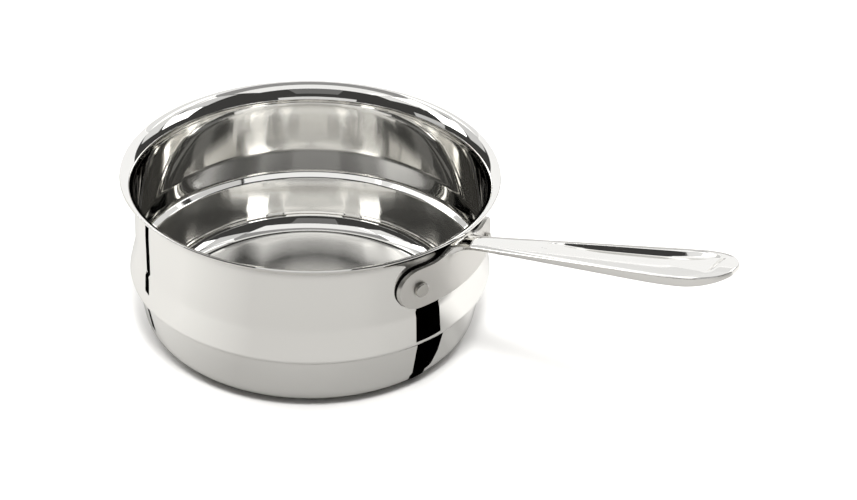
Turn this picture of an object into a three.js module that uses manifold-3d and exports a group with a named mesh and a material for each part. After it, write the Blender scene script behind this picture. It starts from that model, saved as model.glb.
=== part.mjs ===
// A stovetop steamer insert: a drawn stainless bowl whose bead rests on the rim of a saucepan,
// with a cast stainless stick handle held to its wall by two rivets.
// Millimetres, +Z up, handle along +X. The origin is the centre of the bowl's flat underside.

import * as THREE from 'three';
import { mergeVertices } from 'three/addons/utils/BufferGeometryUtils.js';
import { ParametricGeometry } from 'three/addons/geometries/ParametricGeometry.js';
import Module from 'manifold-3d';

const wasm = await Module();
wasm.setup();

// Bowl: the sheet, and the corners of its middle surface from the floor up to the lip
const SHEET = 1.2;
const HALF_SHEET = SHEET / 2;
const RIM_RADIUS = 107.5;
const RIM_HEIGHT = 97.5;
const FLOOR_CORNER_RADIUS = 94.3;
const FLOOR_BEND = 14;
const CREASE_RADIUS = 99.9;
const CREASE_HEIGHT = 33.4;
const CREASE_BEND = 1;
const BEAD_RADIUS = 103.5;
const BEAD_HEIGHT = 36.2;
const BEAD_BEND = 2;
const WALL_RADIUS = 99.5;
const BEAD_TOP_HEIGHT = 53.5;
const BEAD_TOP_BEND = 14;
const LIP_RISE = THREE.MathUtils.degToRad(17);
const LIP_BEND = 10.8;
const LIP_END_RADIUS = RIM_RADIUS - HALF_SHEET * Math.sin(LIP_RISE);
const LIP_END_HEIGHT = RIM_HEIGHT - HALF_SHEET * Math.cos(LIP_RISE);
const LIP_CORNER_HEIGHT = LIP_END_HEIGHT - (LIP_END_RADIUS - WALL_RADIUS) * Math.tan(LIP_RISE);
const BOWL_SIDES = 64;
const BEND_STEP = THREE.MathUtils.degToRad(18);

// Gaps left between pieces that touch on the real object; a rivet head's flat seat needs more, for the
// wall behind it is curved
const CLEARANCE = 0.3;
const HEAD_CLEARANCE = 0.5;

// Points closer than this are one point
const MERGE_DISTANCE = 1e-4;

// Mounting plate of the handle: a band that follows the wall, with round ends and a raised middle
const PLATE_INNER = WALL_RADIUS + HALF_SHEET + CLEARANCE;
const PLATE_OUTER = PLATE_INNER + 3.2;
const PLATE_SPAN = THREE.MathUtils.degToRad(28);
const PLATE_HALF_LENGTH = 44;
const PLATE_BOTTOM = 60;
const PLATE_TOP = 84.5;
const PLATE_END_RADIUS = (PLATE_TOP - PLATE_BOTTOM) / 2;
const PLATE_MIDDLE = (PLATE_TOP + PLATE_BOTTOM) / 2;
const HUMP_TOP = 89.3;
const HUMP_FOOT = 20;
const HUMP_HALF_WIDTH = 8.5;
const HUMP_EASE = 6;
const PLATE_CURVE_STEPS = 24;
const OUTLINE_CURVE_STEPS = 10;

// Arm of the handle, in its own frame: X along the arm, Z square to its top edges. Its top is a low arch
// between two edges and its underside is rounded
const ARM_TILT = THREE.MathUtils.degToRad(16.1);
const ARM_ROOT_X = 102;
const ARM_ROOT_Z = 87.8;
const ARM_START = -6;
const ARM_LENGTH = 168.6;
const NECK_AT = 14;
const NECK_HALF_WIDTH = 7.2;
const NECK_EDGE_RISE = 0.9;
const NECK_CROWN = 2.3;
const NECK_DEPTH = 1;
const GRIP_AT = 141;
const GRIP_HALF_WIDTH = 16.7;
const GRIP_CROWN = 4;
const DEEP_AT = 125;
const GRIP_DEPTH = 6.4;
const TIP_DEPTH = 2.6;
const TIP_POWER = 2.3;
const ROOT_FILLET = 8;
const ROOT_FLARE = 3;
const SECTION_POWER = 0.62;
const ARM_STATIONS = 26;
const ARM_SIDES = 24;

// Scoop in the top of the arm: a trough that sinks from the crest of the arch to a level floor, and whose
// flat end leaves a steep wall near the tip
const SCOOP_START = 36;
const SCOOP_FULL = 90;
const SCOOP_END = 158;
const SCOOP_FLOOR = 0.2;
const SCOOP_AXIS = 9;
const SCOOP_STEPS = 16;
const SCOOP_SIDES = 48;

// Rivets: a low dome inside the bowl, a shank through wall and plate, a button outside
const RIVET_ANGLE = THREE.MathUtils.degToRad(17.8);
const SHANK_RADIUS = 2.8;
const HEAD_RADIUS = 5;
const HEAD_RISE = 1.4;
const BUTTON_RADIUS = 4.2;
const BUTTON_RISE = 2;
const BUTTON_CHAMFER = 0.7;
const HEAD_SEAT = WALL_RADIUS - HALF_SHEET - HEAD_CLEARANCE;
const BUTTON_SEAT = PLATE_OUTER + CLEARANCE;
const RIVET_SIDES = 24;
const DOME_STEPS = 4;

const polishedSteel = new THREE.MeshStandardMaterial({ color: 0xd6d4cf, roughness: 0.08, metalness: 1 });
const castSteel = new THREE.MeshStandardMaterial({ color: 0xd9d8d5, roughness: 0.16, metalness: 1 });
const rivetSteel = new THREE.MeshStandardMaterial({ color: 0xc4c2bd, roughness: 0.25, metalness: 1 });

// A closed geometry as a solid that can be joined and cut
function solidFrom(geometry) {
  const bare = geometry.clone();
  bare.deleteAttribute('normal');
  bare.deleteAttribute('uv');
  const merged = mergeVertices(bare, MERGE_DISTANCE);
  const corners = [];
  const index = merged.index.array;
  for (let i = 0; i < index.length; i += 3) {
    const [a, b, c] = [index[i], index[i + 1], index[i + 2]];
    if (a !== b && b !== c && c !== a) corners.push(a, b, c);
  }
  const vertProperties = new Float32Array(merged.attributes.position.array);
  const triVerts = new Uint32Array(corners);
  return new wasm.Manifold(new wasm.Mesh({ numProp: 3, vertProperties, triVerts }));
}

function geometryFrom(solid) {
  const { vertProperties, triVerts } = solid.getMesh();
  const geometry = new THREE.BufferGeometry();
  geometry.setAttribute('position', new THREE.BufferAttribute(vertProperties, 3));
  geometry.setIndex(new THREE.BufferAttribute(triVerts, 1));
  geometry.computeVertexNormals();
  return geometry;
}

// Points along straight runs whose corners are rounded to each corner's own bend radius
function roundedLine(corners) {
  const points = [corners[0].at];
  for (let i = 1; i < corners.length - 1; i += 1) {
    const { at, bend } = corners[i];
    const back = corners[i - 1].at.clone().sub(at).normalize();
    const ahead = corners[i + 1].at.clone().sub(at).normalize();
    const half = Math.acos(back.dot(ahead)) / 2;
    const middle = back.clone().add(ahead).normalize();
    const centre = at.clone().addScaledVector(middle, bend / Math.sin(half));
    const first = back.multiplyScalar(bend / Math.tan(half)).add(at).sub(centre);
    const turn = Math.sign(first.cross(middle)) * -(Math.PI - 2 * half);
    const steps = Math.max(2, Math.ceil(Math.abs(turn) / BEND_STEP));
    for (let step = 0; step <= steps; step += 1) {
      const spoke = first.clone().rotateAround(new THREE.Vector2(), (turn * step) / steps);
      points.push(spoke.add(centre));
    }
  }
  points.push(corners.at(-1).at);
  return points;
}

// The same line moved sideways: a positive distance moves it to the right of its own direction
function offsetLine(points, distance) {
  return points.map((point, i) => {
    const before = points[Math.max(i - 1, 0)];
    const after = points[Math.min(i + 1, points.length - 1)];
    const along = after.clone().sub(before).normalize();
    const side = new THREE.Vector2(along.y, -along.x);
    return point.clone().addScaledVector(side, distance);
  });
}

function bowlCorner(radius, height, bend) {
  return { at: new THREE.Vector2(radius, height), bend };
}

// Middle of the sheet, from the axis out along the floor and up to the end of the lip
function bowlMiddleLine() {
  return roundedLine([
    bowlCorner(0, HALF_SHEET, 0),
    bowlCorner(FLOOR_CORNER_RADIUS, HALF_SHEET, FLOOR_BEND),
    bowlCorner(CREASE_RADIUS, CREASE_HEIGHT, CREASE_BEND),
    bowlCorner(BEAD_RADIUS, BEAD_HEIGHT, BEAD_BEND),
    bowlCorner(WALL_RADIUS, BEAD_TOP_HEIGHT, BEAD_TOP_BEND),
    bowlCorner(WALL_RADIUS, LIP_CORNER_HEIGHT, LIP_BEND),
    bowlCorner(LIP_END_RADIUS, LIP_END_HEIGHT, 0),
  ]);
}

function makeBowl() {
  const middleLine = bowlMiddleLine();
  const outside = offsetLine(middleLine, HALF_SHEET);
  const inside = offsetLine(middleLine, -HALF_SHEET);
  const shell = new THREE.LatheGeometry([...outside, ...inside.reverse()], BOWL_SIDES);
  shell.rotateX(Math.PI / 2);
  const drilled = drillRivetHoles(solidFrom(shell));
  return geometryFrom(drilled);
}

// Clearance holes for both rivet shanks, square to the wall
function drillRivetHoles(solid) {
  let drilled = solid;
  for (const side of [-1, 1]) {
    const drill = new THREE.CylinderGeometry(
      SHANK_RADIUS + CLEARANCE, SHANK_RADIUS + CLEARANCE, 2 * (BUTTON_SEAT - HEAD_SEAT), RIVET_SIDES);
    drill.rotateZ(Math.PI / 2);
    drill.translate((BUTTON_SEAT + HEAD_SEAT) / 2, 0, PLATE_MIDDLE);
    drill.rotateZ(side * RIVET_ANGLE);
    drilled = drilled.subtract(solidFrom(drill));
  }
  return drilled;
}

// Outline of the plate seen from the front: X is across the plate, Y is height
function plateOutline() {
  const endAt = PLATE_HALF_LENGTH - PLATE_END_RADIUS;
  const quarter = Math.PI / 2;
  const outline = new THREE.Shape();
  outline.moveTo(-endAt, PLATE_BOTTOM);
  outline.absarc(endAt, PLATE_MIDDLE, PLATE_END_RADIUS, -quarter, quarter, false);
  outline.lineTo(HUMP_FOOT, PLATE_TOP);
  outline.bezierCurveTo(
    HUMP_FOOT - HUMP_EASE, PLATE_TOP, HUMP_HALF_WIDTH + HUMP_EASE, HUMP_TOP, HUMP_HALF_WIDTH, HUMP_TOP);
  outline.lineTo(-HUMP_HALF_WIDTH, HUMP_TOP);
  outline.bezierCurveTo(
    -HUMP_HALF_WIDTH - HUMP_EASE, HUMP_TOP, HUMP_EASE - HUMP_FOOT, PLATE_TOP, -HUMP_FOOT, PLATE_TOP);
  outline.absarc(-endAt, PLATE_MIDDLE, PLATE_END_RADIUS, quarter, 3 * quarter, false);
  return outline;
}

function plateSolid() {
  const ring = new THREE.Shape();
  ring.absarc(0, 0, PLATE_OUTER, -PLATE_SPAN, PLATE_SPAN, false);
  ring.absarc(0, 0, PLATE_INNER, PLATE_SPAN, -PLATE_SPAN, true);
  const band = new THREE.ExtrudeGeometry(ring, {
    depth: RIM_HEIGHT, bevelEnabled: false, curveSegments: PLATE_CURVE_STEPS,
  });
  const front = new THREE.ExtrudeGeometry(plateOutline(), {
    depth: 2 * RIM_RADIUS, bevelEnabled: false, curveSegments: OUTLINE_CURVE_STEPS,
  });
  const acrossUpOut = [new THREE.Vector3(0, 1, 0), new THREE.Vector3(0, 0, 1), new THREE.Vector3(1, 0, 0)];
  front.applyMatrix4(new THREE.Matrix4().makeBasis(...acrossUpOut));
  return solidFrom(band).intersect(solidFrom(front));
}

// Rise of a quarter-round fillet at a distance from its root, zero beyond its reach
function fillet(distance, reach) {
  const left = THREE.MathUtils.clamp(1 - distance / reach, 0, 1);
  return 1 - Math.sqrt(1 - left * left);
}

// How far x lies from one place to another, from 0 to 1
function shareBetween(x, start, end) {
  return THREE.MathUtils.clamp((x - start) / (end - start), 0, 1);
}

function armHalfWidth(x) {
  const straight = THREE.MathUtils.lerp(NECK_HALF_WIDTH, GRIP_HALF_WIDTH, shareBetween(x, NECK_AT, GRIP_AT));
  const past = shareBetween(x, GRIP_AT, ARM_LENGTH);
  const rounded = straight * (1 - past ** TIP_POWER) ** (1 / TIP_POWER);
  return rounded + ROOT_FLARE * fillet(x, NECK_AT);
}

function armDepth(x) {
  const straight = THREE.MathUtils.lerp(NECK_DEPTH, GRIP_DEPTH, shareBetween(x, NECK_AT, DEEP_AT));
  const past = shareBetween(x, GRIP_AT, ARM_LENGTH);
  return THREE.MathUtils.lerp(straight, TIP_DEPTH, past ** 2) + ROOT_FILLET * fillet(x, NECK_AT);
}

// Height of the two top edges
function armEdge(x) {
  return THREE.MathUtils.lerp(NECK_EDGE_RISE, 0, shareBetween(x, NECK_AT, GRIP_AT));
}

// Rise of the arch over its two edges
function armCrown(x) {
  const straight = THREE.MathUtils.lerp(NECK_CROWN, GRIP_CROWN, shareBetween(x, NECK_AT, GRIP_AT));
  return straight * (1 - shareBetween(x, GRIP_AT, ARM_LENGTH) ** 3);
}

// A point on the arm's skin: the first row closes the root, the last row is the tip's edge
function armPoint(around, along, target) {
  const row = Math.round(along * ARM_STATIONS);
  const share = Math.max(row - 1, 0) / (ARM_STATIONS - 1);
  const x = THREE.MathUtils.lerp(ARM_START, ARM_LENGTH, (1 - Math.cos(Math.PI * share)) / 2);
  const edge = armEdge(x);
  if (row === 0) {
    target.set(x, 0, edge);
    return;
  }
  const angle = 2 * Math.PI * around;
  const across = roundedPower(Math.cos(angle));
  const side = roundedPower(Math.sin(angle));
  const halfWidth = row === ARM_STATIONS ? 0 : armHalfWidth(x);
  const rise = armCrown(x) * (1 - across ** 2);
  const fall = side * (armDepth(x) + edge);
  target.set(x, across * halfWidth, edge + (side > 0 ? rise : fall));
}

// Flattens a circle's coordinate so that the section is a rounded bar
function roundedPower(value) {
  const tiny = 1e-9;
  return Math.abs(value) < tiny ? 0 : Math.sign(value) * Math.abs(value) ** SECTION_POWER;
}

function armSolid() {
  const skin = new ParametricGeometry(armPoint, ARM_SIDES, ARM_STATIONS);
  return solidFrom(placeArm(skin)).subtract(solidFrom(placeArm(scoopTrough())));
}

function scoopTrough() {
  const crest = armEdge(SCOOP_START) + armCrown(SCOOP_START);
  const line = [new THREE.Vector2(0, SCOOP_START)];
  for (let step = 0; step <= SCOOP_STEPS; step += 1) {
    const x = THREE.MathUtils.lerp(SCOOP_START, SCOOP_END, step / SCOOP_STEPS);
    const sunk = THREE.MathUtils.smoothstep(x, SCOOP_START, SCOOP_FULL);
    line.push(new THREE.Vector2(SCOOP_AXIS - THREE.MathUtils.lerp(crest, SCOOP_FLOOR, sunk), x));
  }
  line.push(new THREE.Vector2(0, SCOOP_END));
  const trough = new THREE.LatheGeometry(line, SCOOP_SIDES);
  trough.rotateZ(-Math.PI / 2);
  trough.translate(0, 0, SCOOP_AXIS);
  return trough;
}

// From the arm's own frame to its place on the plate
function placeArm(geometry) {
  geometry.rotateY(-ARM_TILT);
  geometry.translate(ARM_ROOT_X, 0, ARM_ROOT_Z);
  return geometry;
}

// The bowl's outside grown by the clearance and filled, which shapes the back of the casting
function bowlCore() {
  const grown = offsetLine(bowlMiddleLine(), HALF_SHEET + CLEARANCE);
  const top = new THREE.Vector2(0, grown.at(-1).y);
  const core = new THREE.LatheGeometry([...grown, top], 2 * BOWL_SIDES);
  core.rotateX(Math.PI / 2);
  return solidFrom(core);
}

function makeHandle() {
  const casting = plateSolid().add(armSolid()).subtract(bowlCore());
  return geometryFrom(drillRivetHoles(casting));
}

// A rivet along +X, from its dome inside the bowl to its button outside the plate
function makeRivet() {
  const domeCurve = new THREE.EllipseCurve(0, HEAD_SEAT, HEAD_RADIUS, HEAD_RISE, -Math.PI / 2, 0);
  const dome = domeCurve.getPoints(DOME_STEPS);
  const top = BUTTON_SEAT + BUTTON_RISE;
  const rest = [
    [SHANK_RADIUS, HEAD_SEAT],
    [SHANK_RADIUS, BUTTON_SEAT],
    [BUTTON_RADIUS, BUTTON_SEAT],
    [BUTTON_RADIUS, top - BUTTON_CHAMFER],
    [BUTTON_RADIUS - BUTTON_CHAMFER, top],
    [0, top],
  ].map(([radius, along]) => new THREE.Vector2(radius, along));
  dome[0].x = 0;
  const turned = new THREE.LatheGeometry([...dome, ...rest], RIVET_SIDES);
  turned.rotateZ(-Math.PI / 2);
  return geometryFrom(solidFrom(turned));
}

function named(name, geometry, material) {
  const mesh = new THREE.Mesh(geometry, material);
  mesh.name = name;
  return mesh;
}

const steamerInsert = new THREE.Group();
steamerInsert.add(named('bowl', makeBowl(), polishedSteel));
steamerInsert.add(named('handle', makeHandle(), castSteel));
for (const [name, side] of [['rivet_left', -1], ['rivet_right', 1]]) {
  const rivet = named(name, makeRivet(), rivetSteel);
  rivet.rotation.z = side * RIVET_ANGLE;
  rivet.position.z = PLATE_MIDDLE;
  steamerInsert.add(rivet);
}

export default steamerInsert;
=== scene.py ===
# %% [markdown]
# # A steamer insert in polished stainless steel
# The real object is a drawn steel bowl with a bead that rests on a saucepan's rim, a cast stick handle
# and two rivets. The imported CAD part gives every place and size, so this file only makes finer meshes and
# finishes. We load the part first.

# %% Load the imported part
import math

import bmesh
import bpy
from mathutils import Matrix, Vector


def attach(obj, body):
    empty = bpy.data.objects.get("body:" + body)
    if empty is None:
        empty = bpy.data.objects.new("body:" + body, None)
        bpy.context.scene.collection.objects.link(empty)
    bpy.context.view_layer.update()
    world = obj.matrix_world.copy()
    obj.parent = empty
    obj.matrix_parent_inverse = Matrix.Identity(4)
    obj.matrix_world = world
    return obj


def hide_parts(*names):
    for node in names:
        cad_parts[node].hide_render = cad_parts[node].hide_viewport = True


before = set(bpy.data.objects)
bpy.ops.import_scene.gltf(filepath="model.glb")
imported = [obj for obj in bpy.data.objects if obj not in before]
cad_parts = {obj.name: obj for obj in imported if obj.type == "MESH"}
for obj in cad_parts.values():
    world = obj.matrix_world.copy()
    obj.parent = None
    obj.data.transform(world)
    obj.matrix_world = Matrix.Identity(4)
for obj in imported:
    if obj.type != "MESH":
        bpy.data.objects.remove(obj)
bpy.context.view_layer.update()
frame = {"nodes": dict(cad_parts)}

MM = 0.001
print("CAD nodes:", ", ".join(frame["nodes"]))

# %% [markdown]
# ## The camera
# A product photograph is taken from well back with a long lens, so the round rim stays nearly an ellipse.
# A constraint could aim the camera, but it would leave no say over the roll. So we turn the camera around
# the upright axis, tilt it down and roll it a little, in that order, with one rotation matrix each.

# %% Place the camera
CAMERA_PLACE = (0.5974, -0.7792, 0.6625)
CAMERA_TURN = math.radians(33.5)
CAMERA_TILT = math.radians(32.18)
CAMERA_ROLL = math.radians(2.32)
CAMERA_LENS = 84.0
SENSOR_WIDTH = 36

camera_data = bpy.data.cameras.new("camera")
camera_data.sensor_width = SENSOR_WIDTH
camera_data.lens = CAMERA_LENS
camera = bpy.data.objects.new("camera", camera_data)
bpy.context.collection.objects.link(camera)
turned = Matrix.Rotation(CAMERA_TURN, 4, "Z")
tilted = Matrix.Rotation(math.pi / 2 - CAMERA_TILT, 4, "X")
rolled = Matrix.Rotation(CAMERA_ROLL, 4, "Z")
camera.matrix_world = Matrix.Translation(CAMERA_PLACE) @ turned @ tilted @ rolled
bpy.context.scene.camera = camera
print("camera at", CAMERA_PLACE, "with a lens of", CAMERA_LENS, "mm")

# %% [markdown]
# ## Helpers for round pieces
# The bowl and the rivets are round about an axis, so each starts as a line of a few corners beside that
# axis. A curve object could draw the line too, but bevelling a corner point in bmesh rounds it to a known
# radius, as a press tool rounds the bend of a sheet. The bevel wants the distance from the corner to
# where the round begins, so we work that out from the bend radius and the angle between the two runs.

# %% Draw a profile and round its corners
def round_corner(mesh, point, bend, steps):
    first, second = [edge.other_vert(point).co - point.co for edge in point.link_edges]
    half_angle = first.angle(second) / 2
    reach = bend * MM / math.tan(half_angle)
    bmesh.ops.bevel(mesh, geom=[point], offset=reach, offset_type="OFFSET", segments=steps,
                    profile=0.5, affect="VERTICES", material=-1)


def draw_profile(mesh, corners, steps):
    # A corner is its place and its bend radius, both in mm
    points = [mesh.verts.new(Vector(place) * MM) for place, _ in corners]
    for start, end in zip(points, points[1:]):
        mesh.edges.new((start, end))
    for point, (_, bend) in zip(points, corners):
        if bend:
            round_corner(mesh, point, bend, steps)
    print("profile of", len(corners), "corners has", len(mesh.verts), "points")


# %% [markdown]
# A Screw modifier could turn the line round. We spin it in bmesh instead, because the mesh is then there
# to be cut. A spin leaves doubled points on the axis, so these are merged, and then the normals are
# turned outwards.

# %% Spin a profile and make an object of it
MERGE_DISTANCE = 1e-6


def spin_round(mesh, axis, steps):
    bmesh.ops.spin(mesh, geom=mesh.verts[:] + mesh.edges[:], cent=(0, 0, 0), axis=axis,
                   angle=2 * math.pi, steps=steps, use_merge=True)
    bmesh.ops.remove_doubles(mesh, verts=mesh.verts[:], dist=MERGE_DISTANCE)
    bmesh.ops.recalc_face_normals(mesh, faces=mesh.faces[:])


def make_object(name, mesh):
    data = bpy.data.meshes.new(name)
    mesh.to_mesh(data)
    mesh.free()
    data.polygons.foreach_set("use_smooth", [True] * len(data.polygons))
    piece = bpy.data.objects.new(name, data)
    bpy.context.collection.objects.link(piece)
    print(name, "starts with", len(data.polygons), "faces")
    return piece


# %% [markdown]
# Cut metal is never razor sharp, because it is deburred and buffed, so a small bevel goes on every hard
# edge. The modifiers are then applied. Edges that still turn by more than the sharp angle are shaded as
# edges, and the rest is shaded smooth.

# %% Wear the edges and apply the modifiers
EDGE_WEAR = 0.4
HARD_EDGE_ANGLE = math.radians(50)
SHARP_ANGLE = math.radians(38)


def wear_edges(piece, steps):
    edges = piece.modifiers.new("worn_edges", "BEVEL")
    edges.limit_method = "ANGLE"
    edges.angle_limit = HARD_EDGE_ANGLE
    edges.width = EDGE_WEAR * MM
    edges.segments = steps


def apply_modifiers(piece):
    depsgraph = bpy.context.evaluated_depsgraph_get()
    finished = bpy.data.meshes.new_from_object(piece.evaluated_get(depsgraph))
    piece.modifiers.clear()
    piece.data = finished
    finished.set_sharp_from_angle(angle=SHARP_ANGLE)
    print(piece.name, "has", len(finished.polygons), "faces")


# %% [markdown]
# ## The rivet holes
# Two rivets go through the wall and through the handle's plate. A hole could be inset into a face, but
# both pieces are curved there, and a Boolean cut stays round on a curve. One drill shape with both
# cylinders cuts the holes of both pieces, so they line up.

# %% Make the drill
RIVET_ANGLE = math.radians(17.8)
RIVET_HEIGHT = 72.25
HOLE_RADIUS = 3.1
DRILL_AT = 101.0
DRILL_LENGTH = 14.0
DRILL_STEPS = 48

drill_mesh = bmesh.new()
for side in (-1, 1):
    placed = (Matrix.Rotation(side * RIVET_ANGLE, 4, "Z")
              @ Matrix.Translation(Vector((DRILL_AT, 0, RIVET_HEIGHT)) * MM)
              @ Matrix.Rotation(math.pi / 2, 4, "Y"))
    bmesh.ops.create_cone(drill_mesh, cap_ends=True, segments=DRILL_STEPS, radius1=HOLE_RADIUS * MM,
                          radius2=HOLE_RADIUS * MM, depth=DRILL_LENGTH * MM, matrix=placed)
drill = make_object("drill", drill_mesh)


def drill_holes(piece):
    cut = piece.modifiers.new("holes", "BOOLEAN")
    cut.operation = "DIFFERENCE"
    cut.solver = "EXACT"
    cut.object = drill


# %% [markdown]
# ## The bowl
# The real bowl is one sheet, 1.2 mm thick, drawn and then spun against a form: a flat floor, a tapered
# lower wall that drops into the pan, a sharp crease, a bead, an upright wall and a flared lip. It could
# be pushed out of a cylinder ring by ring, but a profile gives each bend its own radius. We draw the
# profile of the sheet's middle, spin it round, and let Solidify add half of the sheet's thickness on
# either side.

# %% Measures of the bowl
SHEET = 1.2
FLOOR_EDGE_RADIUS = 94.3
FLOOR_BEND = 14.0
CREASE_RADIUS = 99.9
CREASE_HEIGHT = 33.4
CREASE_BEND = 1.0
BEAD_RADIUS = 103.5
BEAD_HEIGHT = 36.2
BEAD_BEND = 2.0
WALL_RADIUS = 99.5
WALL_FOOT_HEIGHT = 53.5
WALL_FOOT_BEND = 14.0
RIM_RADIUS = 107.5
RIM_HEIGHT = 97.5
LIP_RISE = math.radians(17)
LIP_BEND = 10.8
LIP_END_RADIUS = RIM_RADIUS - SHEET / 2 * math.sin(LIP_RISE)
LIP_END_HEIGHT = RIM_HEIGHT - SHEET / 2 * math.cos(LIP_RISE)
LIP_CORNER_HEIGHT = LIP_END_HEIGHT - (LIP_END_RADIUS - WALL_RADIUS) * math.tan(LIP_RISE)
BOWL_CORNERS = [
    # radius, height and bend of the sheet's middle
    (0, SHEET / 2, 0),
    (FLOOR_EDGE_RADIUS, SHEET / 2, FLOOR_BEND),
    (CREASE_RADIUS, CREASE_HEIGHT, CREASE_BEND),
    (BEAD_RADIUS, BEAD_HEIGHT, BEAD_BEND),
    (WALL_RADIUS, WALL_FOOT_HEIGHT, WALL_FOOT_BEND),
    (WALL_RADIUS, LIP_CORNER_HEIGHT, LIP_BEND),
    (LIP_END_RADIUS, LIP_END_HEIGHT, 0),
]
print("bowl is", 2 * RIM_RADIUS, "mm across and", RIM_HEIGHT, "mm high")

# %% Spin the bowl
BEND_STEPS = 10
BOWL_STEPS = 256
HOLE_BAND = 6

bowl_mesh = bmesh.new()
draw_profile(bowl_mesh, [((radius, 0, height), bend) for radius, height, bend in BOWL_CORNERS], BEND_STEPS)
spin_round(bowl_mesh, (0, 0, 1), BOWL_STEPS)
# A ring of edges under and over the holes keeps the long thin faces of their cuts to a narrow band
for height in (RIVET_HEIGHT - HOLE_BAND, RIVET_HEIGHT + HOLE_BAND):
    bmesh.ops.bisect_plane(bowl_mesh, geom=bowl_mesh.verts[:] + bowl_mesh.edges[:] + bowl_mesh.faces[:],
                           plane_co=(0, 0, height * MM), plane_no=(0, 0, 1))
bowl = make_object("bowl_sheet", bowl_mesh)
wall = bowl.modifiers.new("sheet", "SOLIDIFY")
wall.thickness = SHEET * MM
wall.offset = 0
wall.use_even_offset = True
drill_holes(bowl)
wear_edges(bowl, steps=3)
apply_modifiers(bowl)

# %% [markdown]
# ## The handle's plate
# The handle is one casting: a plate that hugs the wall, and an arm with a scoop along its top. Two shapes
# could be joined with a Boolean, but that leaves a hard seam where a casting is soft. So we draw the
# plate as a grid, bend it round the bowl and give it thickness. The arm then grows out of the plate's
# front by extruding a patch of it again and again, and a subdivision surface melts the two together.

# %% Measures of the plate
PLATE_INNER = 100.4
PLATE_OUTER = 103.6
PLATE_MIDDLE = RIVET_HEIGHT
PLATE_END_RADIUS = 12.4
PLATE_END_AT = 31.75
HUMP_RISE = 4.8
HUMP_FOOT = 20.0
HUMP_HALF_WIDTH = 8.5
FLARE_FROM = 86.5
FLARE_BEND = 9.9
COLUMN_AT = [0, 2.5, 5, 7.5, 10.5, 15, 20, 26, PLATE_END_AT]
END_SHARE = [0.3, 0.6, 0.85, 1.0]
ROW_AT = [-1, -0.5, 0, 0.5, 0.8, 0.87, 0.94, 1]
COLUMNS = len(COLUMN_AT) + len(END_SHARE) - 1
ROWS = len(ROW_AT) - 1


def ease(share):
    share = min(max(share, 0), 1)
    return share * share * (3 - 2 * share)


def plate_point(column, row, radius):
    side = math.copysign(1, column)
    step = abs(column)
    up = ROW_AT[row]
    if step < len(COLUMN_AT):
        across = COLUMN_AT[step]
        rise = HUMP_RISE * ease((HUMP_FOOT - across) / (HUMP_FOOT - HUMP_HALF_WIDTH))
        height = PLATE_MIDDLE + PLATE_END_RADIUS * up + rise * max(0, 2 * up - 1)
    else:
        # The last columns are a square that is squeezed into the plate's round end
        share = END_SHARE[step - len(COLUMN_AT)]
        across = PLATE_END_AT + PLATE_END_RADIUS * share * math.sqrt(1 - up * up / 2)
        height = PLATE_MIDDLE + PLATE_END_RADIUS * up * math.sqrt(1 - share * share / 2)
    # The top of the hump leans out, as the bowl's lip above it does
    flare = FLARE_BEND - math.sqrt(FLARE_BEND ** 2 - max(0, height - FLARE_FROM) ** 2)
    out = math.sqrt((radius + flare) ** 2 - across * across)
    return Vector((out, side * across, height)) * MM


print("plate is", 2 * (PLATE_END_AT + PLATE_END_RADIUS), "mm wide")

# %% Lay out the plate
handle_mesh = bmesh.new()
column_of = handle_mesh.verts.layers.int.new("column")
row_of = handle_mesh.verts.layers.int.new("row")
station_of = handle_mesh.verts.layers.int.new("station")
crease_of = handle_mesh.edges.layers.float.new("crease_edge")
bmesh.ops.create_grid(handle_mesh, x_segments=2 * COLUMNS, y_segments=ROWS, size=1)
for point in handle_mesh.verts:
    point[column_of] = round(point.co.x * COLUMNS)
    point[row_of] = round((point.co.y + 1) / 2 * ROWS)
    point.co = plate_point(point[column_of], point[row_of], PLATE_INNER)
print("plate grid has", len(handle_mesh.faces), "faces")

# %% [markdown]
# Subdivision rounds every edge of a cage. A full crease keeps the plate's outline crisp, front and back,
# but not on top of the hump, where the arm flows out of it.

# %% Give the plate its thickness
SOFT_COLUMNS = 5

back_outline = [edge for edge in handle_mesh.edges if edge.is_boundary]
raised = bmesh.ops.extrude_face_region(handle_mesh, geom=handle_mesh.faces[:], use_keep_orig=True)
front_points = [item for item in raised["geom"] if isinstance(item, bmesh.types.BMVert)]
front_faces = [item for item in raised["geom"] if isinstance(item, bmesh.types.BMFace)]
for point in front_points:
    point.co = plate_point(point[column_of], point[row_of], PLATE_OUTER)
for edge in back_outline:
    edge[crease_of] = 1
for edge in {edge for face in front_faces for edge in face.edges}:
    on_rim = any(face not in front_faces for face in edge.link_faces)
    beside_arm = max(abs(point[column_of]) for point in edge.verts) <= SOFT_COLUMNS
    on_top = min(point[row_of] for point in edge.verts) == ROWS
    if on_rim and not (beside_arm and on_top):
        edge[crease_of] = 1
print("plate has", len(handle_mesh.faces), "faces")

# %% [markdown]
# ## The arm
# The real arm widens from a neck to a grip and ends in a round tip, seen from above. A curve with a bevel
# object could sweep one section along it, but here the section changes all the way. So each station along
# the arm is a ring of points with its own measures: nine across the top, nine across the bottom and two
# on each side.

# %% Outline of the arm
ARM_TILT = math.radians(16.1)
ARM_ROOT = Vector((102, 0, 87.8)) * MM
ARM_LENGTH = 168.6
NECK_AT = 14
NECK_HALF_WIDTH = 7.2
NECK_DEPTH = 1.0
GRIP_AT = 141
GRIP_HALF_WIDTH = 16.7
GRIP_DEPTH = 6.4
DEEP_AT = 125
TIP_DEPTH = 2.6
TIP_POWER = 2.3
ROOT_FLARE = 1.5
ROOT_FILLET = 2.5


def mix(start, end, share):
    share = min(max(share, 0), 1)
    return start + (end - start) * share


def past_grip(along):
    return min(max((along - GRIP_AT) / (ARM_LENGTH - GRIP_AT), 0), 1)


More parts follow.
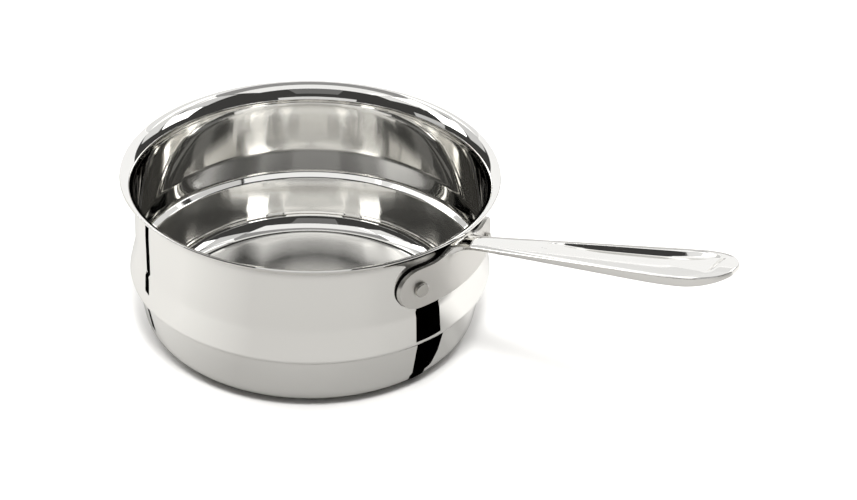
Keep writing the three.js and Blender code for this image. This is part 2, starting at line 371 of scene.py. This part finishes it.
def arm_half_width(along):
    straight = mix(NECK_HALF_WIDTH, GRIP_HALF_WIDTH, (along - NECK_AT) / (GRIP_AT - NECK_AT))
    flare = ROOT_FLARE * max(0, 1 - along / NECK_AT) ** 2
    return straight * (1 - past_grip(along) ** TIP_POWER) ** (1 / TIP_POWER) + flare


def arm_depth(along):
    straight = mix(NECK_DEPTH, GRIP_DEPTH, (along - NECK_AT) / (DEEP_AT - NECK_AT))
    fillet = ROOT_FILLET * max(0, 1 - along / NECK_AT) ** 2
    return mix(straight, TIP_DEPTH, past_grip(along) ** 2) + fillet


print("arm is", ARM_LENGTH, "mm long and", 2 * arm_half_width(GRIP_AT), "mm wide at the grip")

# %% [markdown]
# The arm's top is a low arch between two crisp edges. The scoop is a trough sunk into that arch, with a
# rim, the ridge, on each side, and it is closed by a steep wall near the tip. Cutting it out with a
# Boolean would leave hard edges. Instead, the points of a station that lie between the two ridges sink to
# the scoop's floor.

# %% Top of the arm
NECK_EDGE_RISE = 0.9
NECK_CROWN = 2.3
GRIP_CROWN = 4.0
SCOOP_START = 36
SCOOP_FULL = 90
SCOOP_WALL_FOOT = 155.5
SCOOP_WALL_TOP = 160.5
SCOOP_FLOOR = 0.2
SCOOP_FLAT = 0.72
RIDGE_START_SHARE = 0.25
RIDGE_SHARE = 0.41
RIDGE_END_SHARE = 0.68
RIDGE_OPENS_IN = 30
RIDGE_SPREADS_FROM = 125
RIDGE_SPREADS_IN = 34
ARCH_SHARE = 0.55
FOOT_COLUMN = 1
RIDGE_COLUMN = 2


def edge_height(along):
    return mix(NECK_EDGE_RISE, 0, (along - NECK_AT) / (GRIP_AT - NECK_AT))


def crown(along):
    straight = mix(NECK_CROWN, GRIP_CROWN, (along - NECK_AT) / (GRIP_AT - NECK_AT))
    return straight * (1 - past_grip(along) ** 3)


def ridge_share(along):
    opened = mix(RIDGE_START_SHARE, RIDGE_SHARE, ease((along - SCOOP_START) / RIDGE_OPENS_IN))
    return mix(opened, RIDGE_END_SHARE, ease((along - RIDGE_SPREADS_FROM) / RIDGE_SPREADS_IN))


def scoop_share(along):
    start = ease((along - SCOOP_START) / (SCOOP_FULL - SCOOP_START))
    end = 1 - ease((along - SCOOP_WALL_FOOT) / (SCOOP_WALL_TOP - SCOOP_WALL_FOOT))
    return start * end


def top_place(along, step):
    ridge = ridge_share(along)
    share = [0, SCOOP_FLAT * ridge, ridge, mix(ridge, 1, ARCH_SHARE), 1][step]
    height = edge_height(along) + crown(along) * (1 - share * share)
    if step < RIDGE_COLUMN:
        height = mix(height, edge_height(along) + SCOOP_FLOOR, scoop_share(along))
    return share, height


print("scoop runs from", SCOOP_START, "to", SCOOP_WALL_TOP, "mm along the arm")

# %% Place a point of the arm
PATCH_COLUMNS = 4
PATCH_ROW = 4
BOTTOM_ACROSS = [0, 0.25, 0.47, 0.69, 0.88]
BOTTOM_CORNER_DEPTH = 0.96
SIDE_ACROSS = [0, 0.27, 0.52, 0.77, 1.0]
UPPER_SIDE_DROP = 0.22
LOWER_SIDE_DROP = 0.68


def arm_point(along, column, row):
    depth = arm_depth(along)
    step = abs(column)
    if row == ROWS:
        share, up = top_place(along, step)
    elif row == PATCH_ROW:
        share = BOTTOM_ACROSS[step]
        up = -depth * (BOTTOM_CORNER_DEPTH if step == PATCH_COLUMNS else 1)
    else:
        share = SIDE_ACROSS[step]
        up = mix(edge_height(along), -depth, UPPER_SIDE_DROP if row == ROWS - 1 else LOWER_SIDE_DROP)
    place = Vector((along, math.copysign(share, column) * arm_half_width(along), up)) * MM
    return ARM_ROOT + Matrix.Rotation(-ARM_TILT, 3, "Y") @ place


print("the arm's tip is at", arm_point(ARM_LENGTH, 0, ROWS))

# %% Grow the arm
ARM_STATIONS = [4, 9, 16, 26, 36, 46, 56, 68, 80, 92, 104, 116, 127, 137, 145, 151, SCOOP_WALL_FOOT,
                SCOOP_WALL_TOP, 163.5, 166.3, 168.2]


def in_patch(face):
    rows = [point[row_of] for point in face.verts]
    columns = [abs(point[column_of]) for point in face.verts]
    return min(rows) >= PATCH_ROW and max(columns) <= PATCH_COLUMNS


end_faces = [face for face in front_faces if in_patch(face)]
for station, along in enumerate(ARM_STATIONS, 1):
    grown = bmesh.ops.extrude_face_region(handle_mesh, geom=end_faces)
    stale = [face for face in end_faces if face.is_valid]
    if stale:
        bmesh.ops.delete(handle_mesh, geom=stale, context="FACES")
    end_faces = [item for item in grown["geom"] if isinstance(item, bmesh.types.BMFace)]
    for item in grown["geom"]:
        if isinstance(item, bmesh.types.BMVert):
            item[station_of] = station
            item.co = arm_point(along, item[column_of], item[row_of])
bmesh.ops.recalc_face_normals(handle_mesh, faces=handle_mesh.faces[:])
unclosed = [edge for edge in handle_mesh.edges if len(edge.link_faces) != 2]
print("handle cage has", len(handle_mesh.faces), "faces, and edges that aren't closed:", len(unclosed))

# %% [markdown]
# A crease tells the subdivision surface to stay sharp along an edge. The arm's two top edges and the rim
# of the scoop are crisp on the real casting, but still rounded by buffing, so their creases are only
# partial.

# %% Crease the arm
EDGE_CREASE = 0.4
RIDGE_CREASE = 0.65
FOOT_CREASE = 0.6
WALL_CREASE = 0.45
CREASE_FROM = ARM_STATIONS.index(56) + 1
WALL_FOOT = ARM_STATIONS.index(SCOOP_WALL_FOOT) + 1
WALL_TOP = ARM_STATIONS.index(SCOOP_WALL_TOP) + 1

creased = 0
for edge in handle_mesh.edges:
    columns = [abs(point[column_of]) for point in edge.verts]
    stations = [point[station_of] for point in edge.verts]
    on_top = min(point[row_of] for point in edge.verts) == ROWS
    if not on_top or max(stations) == 0:
        continue
    runs_along = stations[0] != stations[1]
    beside_scoop = runs_along and CREASE_FROM <= min(stations) and max(stations) <= WALL_FOOT
    if runs_along and min(columns) == PATCH_COLUMNS:
        edge[crease_of] = EDGE_CREASE
    elif beside_scoop and columns == [RIDGE_COLUMN, RIDGE_COLUMN]:
        edge[crease_of] = RIDGE_CREASE
    elif beside_scoop and columns == [FOOT_COLUMN, FOOT_COLUMN]:
        edge[crease_of] = FOOT_CREASE
    elif not runs_along and max(columns) <= RIDGE_COLUMN and stations[0] in (WALL_FOOT, WALL_TOP):
        edge[crease_of] = WALL_CREASE
    creased += edge[crease_of] > 0
print("creased", creased, "edges of the arm")

# %% Smooth the casting and drill it
SMOOTH_LEVELS = 3

handle = make_object("handle_casting", handle_mesh)
smooth = handle.modifiers.new("casting", "SUBSURF")
smooth.levels = SMOOTH_LEVELS
smooth.render_levels = SMOOTH_LEVELS
drill_holes(handle)
wear_edges(handle, steps=2)
apply_modifiers(handle)

# %% [markdown]
# ## The rivets
# Each rivet is turned steel: a low dome inside the bowl, a shank through wall and plate, and a flat
# button outside with a soft edge. Stacked cylinders would leave faces inside, so one profile beside the X
# axis is spun round that axis and then turned into place.

# %% Turn the rivets
RIVET_STEPS = 48
RIVET_BEND_STEPS = 4
SHANK_RADIUS = 2.8
HEAD_RADIUS = 5.0
HEAD_TOP = 97.0
HEAD_SEAT = 98.4
BUTTON_RADIUS = 4.2
BUTTON_SEAT = 103.9
BUTTON_TOP = 105.9
RIVET_CORNERS = [
    # distance from the bowl's axis, radius and bend, with two corners between that arch the head
    (HEAD_TOP, 0, 0),
    (97.15, 2.4, 4.0),
    (97.7, 4.4, 1.5),
    (HEAD_SEAT, HEAD_RADIUS, 0.2),
    (HEAD_SEAT, SHANK_RADIUS, 0),
    (BUTTON_SEAT, SHANK_RADIUS, 0),
    (BUTTON_SEAT, BUTTON_RADIUS, 0.15),
    (BUTTON_TOP, BUTTON_RADIUS, 0.6),
    (BUTTON_TOP, 0, 0),
]


def make_rivet(name, side):
    mesh = bmesh.new()
    draw_profile(mesh, [((out, radius, 0), bend) for out, radius, bend in RIVET_CORNERS], RIVET_BEND_STEPS)
    spin_round(mesh, (1, 0, 0), RIVET_STEPS)
    bmesh.ops.translate(mesh, verts=mesh.verts[:], vec=(0, 0, RIVET_HEIGHT * MM))
    bmesh.ops.rotate(mesh, verts=mesh.verts[:], cent=(0, 0, 0),
                     matrix=Matrix.Rotation(side * RIVET_ANGLE, 3, "Z"))
    rivet = make_object(name, mesh)
    apply_modifiers(rivet)
    return rivet


rivets = {"rivet_left": make_rivet("rivet_left_turned", -1),
          "rivet_right": make_rivet("rivet_right_turned", 1)}
bpy.data.objects.remove(drill)

# %% [markdown]
# ## Finishes
# All four pieces are stainless steel. A metal's colour is its reflection, so the base colour is what the
# steel reflects straight on, slightly warm. Real steel gives back a little over half. Here it is about
# nine tenths, so that the studio's boxes look as bright in it as they do on the real object. Image
# textures could give the fine marks, but noise nodes on Object coordinates follow real millimetres and
# need no unwrapping.

# %% Colours and nodes
def linear(code):
    channels = [int(code[at:at + 2], 16) / 255 for at in (1, 3, 5)]
    bent = [c / 12.92 if c <= 0.04045 else ((c + 0.055) / 1.055) ** 2.4 for c in channels]
    return (*bent, 1)


def add(tree, kind, links=(), **settings):
    node = tree.nodes.new(kind)
    for name, value in settings.items():
        setattr(node, name, value)
    for socket, source in dict(links).items():
        if hasattr(source, "links"):
            tree.links.new(source, node.inputs[socket])
        else:
            node.inputs[socket].default_value = source
    return node


def new_material(name, settings):
    material = bpy.data.materials.new(name)
    material.use_nodes = True
    surface = material.node_tree.nodes["Principled BSDF"]
    for socket, value in settings.items():
        surface.inputs[socket].default_value = value
    print("made", name)
    return material, material.node_tree, surface


def cover(piece, material):
    piece.data.materials.clear()
    piece.data.materials.append(material)


# %% [markdown]
# The sheet is buffed to a mirror, and its floor is left with a satin face from the lathe: fine rings
# about the axis that spread a highlight outwards, which the shader's anisotropy imitates. We first work
# out where that floor is, from the height and from the distance to the axis, because one material covers
# the whole sheet.

# %% Polished sheet and where its floor is
STEEL = "#f3f2ef"
SATIN_RADIUS = 86.0
SATIN_FADE = 2.0
SATIN_UNDER = 3.0
SATIN_FULL_UNDER = 1.5

sheet, tree, surface = new_material("polished_stainless_sheet", {
    "Metallic": 1, "Base Color": linear(STEEL), "Anisotropic": 0.95, "Anisotropic Rotation": 0.25})
round_axis = add(tree, "ShaderNodeTangent", direction_type="RADIAL", axis="Z").outputs["Tangent"]
tree.links.new(round_axis, surface.inputs["Tangent"])
place = add(tree, "ShaderNodeTexCoord").outputs["Object"]
height = add(tree, "ShaderNodeSeparateXYZ", {"Vector": place}).outputs["Z"]
flat = add(tree, "ShaderNodeVectorMath", {0: place, 1: (1, 1, 0)}, operation="MULTIPLY").outputs["Vector"]
radius = add(tree, "ShaderNodeVectorMath", {0: flat}, operation="LENGTH").outputs["Value"]
low = add(tree, "ShaderNodeMapRange", {"Value": height, "From Min": SATIN_UNDER * MM,
                                       "From Max": SATIN_FULL_UNDER * MM},
          interpolation_type="SMOOTHSTEP").outputs["Result"]
inner = add(tree, "ShaderNodeMapRange", {"Value": radius, "From Min": SATIN_RADIUS * MM,
                                         "From Max": (SATIN_RADIUS - SATIN_FADE) * MM},
            interpolation_type="SMOOTHSTEP").outputs["Result"]
on_floor = add(tree, "ShaderNodeMath", {0: low, 1: inner}, operation="MULTIPLY").outputs["Value"]

# %% [markdown]
# Real lathe rings are about a tenth of a millimetre apart. They are drawn four times coarser here so that
# they show. The mirror around them isn't perfect either: broad smears left by the buffing wheel change
# its roughness a little. A Mix node lists the sockets of every kind of data it can mix. Numbers go into 2
# and 3, colours into 6 and 7.

# %% Rings and smears of the sheet
RING_SPACING = 0.4
RING_DEPTH = 0.02
SMEAR_SIZE = 35
BUFFED_ROUGH_LEAST = 0.02
BUFFED_ROUGH_MOST = 0.05
SATIN_ROUGH_LEAST = 0.16
SATIN_ROUGH_MOST = 0.22

rings = add(tree, "ShaderNodeTexNoise", {"W": radius, "Scale": 1 / (RING_SPACING * MM), "Detail": 2.0},
            noise_dimensions="1D").outputs["Fac"]
smears = add(tree, "ShaderNodeTexNoise", {"Vector": place, "Scale": 1 / (SMEAR_SIZE * MM),
                                          "Detail": 3.0}).outputs["Fac"]
buffed = add(tree, "ShaderNodeMapRange", {"Value": smears, "To Min": BUFFED_ROUGH_LEAST,
                                          "To Max": BUFFED_ROUGH_MOST}).outputs["Result"]
satin = add(tree, "ShaderNodeMapRange", {"Value": rings, "To Min": SATIN_ROUGH_LEAST,
                                         "To Max": SATIN_ROUGH_MOST}).outputs["Result"]
rough = add(tree, "ShaderNodeMix", {0: on_floor, 2: buffed, 3: satin})
tree.links.new(rough.outputs[0], surface.inputs["Roughness"])
ring_height = add(tree, "ShaderNodeMath", {0: rings, 1: on_floor}, operation="MULTIPLY").outputs["Value"]
bump = add(tree, "ShaderNodeBump", {"Height": ring_height, "Strength": 0.2, "Distance": RING_DEPTH * MM})
tree.links.new(bump.outputs["Normal"], surface.inputs["Normal"])
cover(bowl, sheet)
print(sheet.name, "has", len(tree.nodes), "nodes")

# %% [markdown]
# The casting is ground and then buffed by hand along the arm. That leaves hair-fine lines along its
# length and a faint waviness, which bends reflections a little more than a pressed sheet does. A Mapping
# node stretches the noise along the arm to draw the hairs. Real ones are far finer than the half
# millimetre that they get here, and wouldn't show.

# %% Buffed casting
HAIR_LENGTH = 30
HAIR_WIDTH = 0.5
HAIR_ROUGH_LEAST = 0.05
HAIR_ROUGH_MOST = 0.1
WAVE_SIZE = 14
WAVE_DEPTH = 0.1

casting, tree, surface = new_material("buffed_cast_stainless", {"Metallic": 1})
place = add(tree, "ShaderNodeTexCoord").outputs["Object"]
hair_scale = (1 / (HAIR_LENGTH * MM), 1 / (HAIR_WIDTH * MM), 1 / (HAIR_WIDTH * MM))
along_arm = add(tree, "ShaderNodeMapping", {"Vector": place, "Rotation": (0, ARM_TILT, 0),
                                            "Scale": hair_scale}).outputs["Vector"]
hairs = add(tree, "ShaderNodeTexNoise", {"Vector": along_arm, "Scale": 1.0, "Detail": 2.0}).outputs["Fac"]
buffed = add(tree, "ShaderNodeMapRange", {"Value": hairs, "To Min": HAIR_ROUGH_LEAST,
                                          "To Max": HAIR_ROUGH_MOST}).outputs["Result"]
waves = add(tree, "ShaderNodeTexNoise", {"Vector": place, "Scale": 1 / (WAVE_SIZE * MM),
                                         "Detail": 1.0}).outputs["Fac"]
wavy = add(tree, "ShaderNodeBump", {"Height": waves, "Strength": 0.03, "Distance": WAVE_DEPTH * MM})
tree.links.new(wavy.outputs["Normal"], surface.inputs["Normal"])

# %% [markdown]
# The plate's face is only bead blasted, so it is satin and a little darker than the arm. The plate's edge
# beside the wall is painted near black, as painted shade for the dark crevice between plate and wall. As on
# the sheet, the height and the distance from the bowl's axis tell the material where it is. The pits of the
# blasting are drawn coarser than real ones so that they show.

# %% Blasted plate, with painted crevice shade on its edge
BLASTED = "#dcdad6"
# Painted shade: near black, for the dark crevice between the plate's edge and the wall
PAINTED_CREVICE_SHADE = "#1c1b19"
FACE_UNTIL = PLATE_OUTER + 1.4
FACE_FULL_UNTIL = PLATE_OUTER + 0.4
FACE_UNDER = 86.5
FACE_FULL_UNDER = 85.5
CREVICE_SHADE_UNTIL = PLATE_OUTER - 2.0
CREVICE_SHADE_FULL_UNTIL = PLATE_OUTER - 2.3
GRIT = 0.4
BLASTED_ROUGH_LEAST = 0.34
BLASTED_ROUGH_MOST = 0.44

flat = add(tree, "ShaderNodeVectorMath", {0: place, 1: (1, 1, 0)}, operation="MULTIPLY").outputs["Vector"]
radius = add(tree, "ShaderNodeVectorMath", {0: flat}, operation="LENGTH").outputs["Value"]
height = add(tree, "ShaderNodeSeparateXYZ", {"Vector": place}).outputs["Z"]
near_wall = add(tree, "ShaderNodeMapRange", {"Value": radius, "From Min": FACE_UNTIL * MM,
                                             "From Max": FACE_FULL_UNTIL * MM}).outputs["Result"]
under_hump = add(tree, "ShaderNodeMapRange", {"Value": height, "From Min": FACE_UNDER * MM,
                                              "From Max": FACE_FULL_UNDER * MM}).outputs["Result"]
on_plate = add(tree, "ShaderNodeMath", {0: near_wall, 1: under_hump}, operation="MULTIPLY").outputs["Value"]
# The plate's edge within about 2 mm of the wall gets the painted crevice shade
crevice_shade_mask = add(tree, "ShaderNodeMapRange", {"Value": radius, "From Min": CREVICE_SHADE_UNTIL * MM,
                                             "From Max": CREVICE_SHADE_FULL_UNTIL * MM}).outputs["Result"]
grit = add(tree, "ShaderNodeTexNoise", {"Vector": place, "Scale": 1 / (GRIT * MM),
                                        "Detail": 2.0}).outputs["Fac"]
blasted = add(tree, "ShaderNodeMapRange", {"Value": grit, "To Min": BLASTED_ROUGH_LEAST,
                                           "To Max": BLASTED_ROUGH_MOST}).outputs["Result"]
rough = add(tree, "ShaderNodeMix", {0: on_plate, 2: buffed, 3: blasted})
tree.links.new(rough.outputs[0], surface.inputs["Roughness"])
face = add(tree, "ShaderNodeMix", {0: on_plate, 6: linear(STEEL), 7: linear(BLASTED)}, data_type="RGBA")
# The painted shade goes over the face colour at the plate's edge beside the wall
colour = add(tree, "ShaderNodeMix", {0: crevice_shade_mask, 6: face.outputs[2], 7: linear(PAINTED_CREVICE_SHADE)},
             data_type="RGBA")
tree.links.new(colour.outputs[2], surface.inputs["Base Color"])
cover(handle, casting)
print(casting.name, "has", len(tree.nodes), "nodes")

# %% [markdown]
# The rivets are set with a press and only lightly buffed, so they are duller than what they hold. A grain
# in the roughness, coarser than the real one so that it shows, breaks up their highlights.

# %% Rivet steel
RIVET_STEEL = "#c9c7c2"
RIVET_GRAIN = 0.8
RIVET_ROUGH_LEAST = 0.14
RIVET_ROUGH_MOST = 0.28

rivet_steel, tree, surface = new_material("pressed_stainless_rivet", {
    "Metallic": 1, "Base Color": linear(RIVET_STEEL)})
place = add(tree, "ShaderNodeTexCoord").outputs["Object"]
grain = add(tree, "ShaderNodeTexNoise", {"Vector": place, "Scale": 1 / (RIVET_GRAIN * MM),
                                         "Detail": 3.0}).outputs["Fac"]
rough = add(tree, "ShaderNodeMapRange", {"Value": grain, "To Min": RIVET_ROUGH_LEAST,
                                         "To Max": RIVET_ROUGH_MOST}).outputs["Result"]
tree.links.new(rough, surface.inputs["Roughness"])
for rivet in rivets.values():
    cover(rivet, rivet_steel)
print(rivet_steel.name, "has", len(tree.nodes), "nodes")

# %% [markdown]
# ## Riding on the frame
# Nothing moves on this part, so every piece rides on the one body, root, and stands for its CAD node.

# %% Tie each piece to its node
for piece, node, slot in ((bowl, "bowl", "polished_sheet"), (handle, "handle", "polished_casting"),
                          (rivets["rivet_left"], "rivet_left", "rivet_steel"),
                          (rivets["rivet_right"], "rivet_right", "rivet_steel")):
    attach(piece, "root")
    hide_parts(node)
    print(piece.name, "stands for", node)

# %% [markdown]
# ## The studio floor
# Polished steel shows the room more than itself, so the room is built to be reflected. The camera sees a
# floor of white paper, but that alone would make the wall too white. The tones could be painted on the
# steel, but they would be wrong from any other side. So a grey card lies just above the floor, seen by
# reflections only. It is paler on both sides, where the real wall reflects a brighter part of the room.

# %% Floor and grey card
WHITE = "#f4f3f1"
GREY = "#9e9d9b"
PAPER_ROUGHNESS = 0.9
FLOOR_HALF_SIZE = 6000
CARD_HEIGHT = 0.1


def new_paper(name, colour):
    paper, _, _ = new_material(name, {"Base Color": linear(colour), "Roughness": PAPER_ROUGHNESS,
                                      "Specular IOR Level": 0})
    return paper


def lay_paper(name, height, paper):
    mesh = bmesh.new()
    half = FLOOR_HALF_SIZE
    corners = [(-half, -half), (half, -half), (half, half), (-half, half)]
    mesh.faces.new([mesh.verts.new(Vector((x, y, height)) * MM) for x, y in corners])
    sheet_of_paper = make_object(name, mesh)
    cover(sheet_of_paper, paper)
    return sheet_of_paper


def hide_card(card):
    card.visible_camera = False
    card.visible_diffuse = False
    card.visible_shadow = False


lay_paper("floor", 0, new_paper("white_paper", WHITE))
grey_paper = new_paper("grey_paper", GREY)
hide_card(lay_paper("grey_card", CARD_HEIGHT, grey_paper))

# %% Pale sides of the grey card
PALE_LEFT = "#b9b8b6"
PALE_RIGHT = "#cccbc9"
FULL_TURN = 360
GREY_BEHIND = 140
CARD_TONES = [
    # degrees to the right of the camera's side, and the tone there
    (-110, PALE_LEFT),
    (-65, PALE_LEFT),
    (-25, GREY),
    (64, GREY),
    (84, PALE_RIGHT),
    (110, PALE_RIGHT),
]

tree = grey_paper.node_tree
place = add(tree, "ShaderNodeTexCoord").outputs["Object"]
facing = add(tree, "ShaderNodeMapping", {"Vector": place, "Rotation": (0, 0, math.pi / 2 - CAMERA_TURN)})
around = add(tree, "ShaderNodeTexGradient", {"Vector": facing.outputs["Vector"]}, gradient_type="RADIAL")
ramp = add(tree, "ShaderNodeValToRGB", {"Fac": around.outputs["Fac"]})
stops = ramp.color_ramp.elements
for stop, turn in ((stops[0], -GREY_BEHIND), (stops[1], GREY_BEHIND)):
    stop.position = 0.5 + turn / FULL_TURN
    stop.color = linear(GREY)
for turn, tone in CARD_TONES:
    stops.new(0.5 + turn / FULL_TURN).color = linear(tone)
tree.links.new(ramp.outputs["Color"], tree.nodes["Principled BSDF"].inputs["Base Color"])
print("grey card has", len(stops), "tones")

# %% [markdown]
# ## The black strips
# The dark upright lines on the real wall are reflections of narrow dark things in the room. Cards far
# away would draw broad soft bands, so strips of black paper hang a few millimetres from the wall and
# follow it, seen by reflections only. A strip is a ladder of rows, each with its own radius, height and
# two edges.

# %% Hang the strips
BLACK = "#050505"
STRIPS = {
    # radius and height in mm, then the left and the right edge in degrees about the bowl's axis
    "right_strip": [(103.2, 58, -16.3, -6.0), (103.2, 54, -16.4, -6.1), (107.3, 36.5, -17.6, -7.3)],
    "right_foot_strip": [(104.2, 33, -14.6, -1.5), (100.5, 14, -14.8, -3.2), (97.5, 4, -15.6, -8.5),
                         (84, 0.3, -17, -11)],
    "left_strip": [(103.2, 94, -122.3, -118.9), (103.2, 50.2, -122.3, -118.9),
                   (103.4, 49.8, -121.6, -118.2), (106.2, 41, -120.0, -116.6)],
    "left_foot_strip": [(103.6, 30, -130.4, -126.0), (98.4, 6, -126.6, -122.6)],
}


def hang_strip(name, rows, paper):
    mesh = bmesh.new()
    last = None
    for radius, height, *edges in rows:
        angles = [math.radians(edge) for edge in edges]
        places = [Vector((radius * math.cos(angle), radius * math.sin(angle), height)) for angle in angles]
        pair = [mesh.verts.new(place * MM) for place in places]
        if last:
            mesh.faces.new((last[0], pair[0], pair[1], last[1]))
        last = pair
    strip = make_object(name, mesh)
    cover(strip, paper)
    hide_card(strip)


black_paper = new_paper("black_paper", BLACK)
for name, rows in STRIPS.items():
    hang_strip(name, rows, black_paper)

# %% [markdown]
# ## Light
# A photographer lights polished steel with large soft boxes, because each shows in it as a bright patch.
# An environment picture could do that too, but area lights keep every patch under control. They stand all
# round, with a bright window on each side, and the gaps between them are the dark bands in the bowl.

# %% Room
ROOM_TINT = (1, 0.99, 0.97, 1)
ROOM_STRENGTH = 0.05

world = bpy.data.worlds.new("room")
bpy.context.scene.world = world
world.use_nodes = True
background = world.node_tree.nodes["Background"]
background.inputs["Color"].default_value = ROOM_TINT
background.inputs["Strength"].default_value = ROOM_STRENGTH
print("the room shines with a strength of", ROOM_STRENGTH)

# %% Soft boxes
BOX_DISTANCE = 1.6
SOFT_BOXES = {
    # degrees to the right of the camera's side, half width, lowest and highest elevation, then radiance
    "back_box": (180, 34, 0, 45, 0.96),
    "back_top_box": (180, 30, 45, 61, 0.8),
    "lip_box": (180, 27, 61, 70, 0.85),
    "top_back_box": (180, 25, 70, 90, 0.25),
    "top_front_box": (0, 25, 66, 90, 0.9),
    "left_window": (-104, 11, 24, 45, 3.8),
    "left_high_box": (-98, 9, 45, 65, 1.1),
    "left_back_box": (-129, 9, 24, 65, 0.6),
    "left_front_low_box": (-80, 12, 0, 22, 0.5),
    "left_front_high_box": (-70, 9, 47, 65, 0.8),
    "right_window": (104, 11, 24, 45, 2.5),
    "right_high_box": (98, 9, 45, 65, 0.6),
    "right_back_box": (129, 9, 24, 65, 0.7),
    "front_box": (0, 25, 2, 20, 0.7),
    "front_high_box": (0, 12, 38, 65, 0.12),
}


def soft_box(name, turn, half_width, low, high, radiance):
    middle = math.radians((low + high) / 2)
    light = bpy.data.lights.new(name, "AREA")
    light.shape = "RECTANGLE"
    light.size = 2 * BOX_DISTANCE * math.tan(math.radians(half_width))
    light.size_y = 2 * BOX_DISTANCE * math.tan(math.radians((high - low) / 2))
    light.energy = radiance * math.pi * light.size * light.size_y
    lamp = bpy.data.objects.new(name, light)
    bpy.context.collection.objects.link(lamp)
    angle = CAMERA_TURN - math.pi / 2 + math.radians(turn)
    level = Vector((math.cos(angle), math.sin(angle), 0)) * math.cos(middle)
    direction = level + Vector((0, 0, math.sin(middle)))
    aim = direction.to_track_quat("Z", "Y").to_matrix().to_4x4()
    lamp.matrix_world = Matrix.Translation(direction * BOX_DISTANCE) @ aim
    return lamp


for name, box in SOFT_BOXES.items():
    soft_box(name, *box)
print("set up", len(SOFT_BOXES), "soft boxes")

# %% [markdown]
# Two more lights are hidden from reflections, because they would show as spots on the steel. A small
# strong one lights the floor and casts the soft shadow, and a broad weak one overhead fills that shadow.
# The Standard view shows the paper as white as it is, where Blender's default view would grey it.

# %% Hidden lights and colour handling
HIDDEN_LIGHTS = {
    # as for the soft boxes, and a highest elevation over 90 reaches past the top
    "floor_light": (6, 6, 57, 69, 50),
    "fill_light": (0, 35, 55, 125, 1.8),
}

for name, box in HIDDEN_LIGHTS.items():
    soft_box(name, *box).visible_glossy = False
view = bpy.context.scene.view_settings
view.view_transform = "Standard"
view.look = "None"
print("set up", len(HIDDEN_LIGHTS), "hidden lights and the view", view.view_transform)
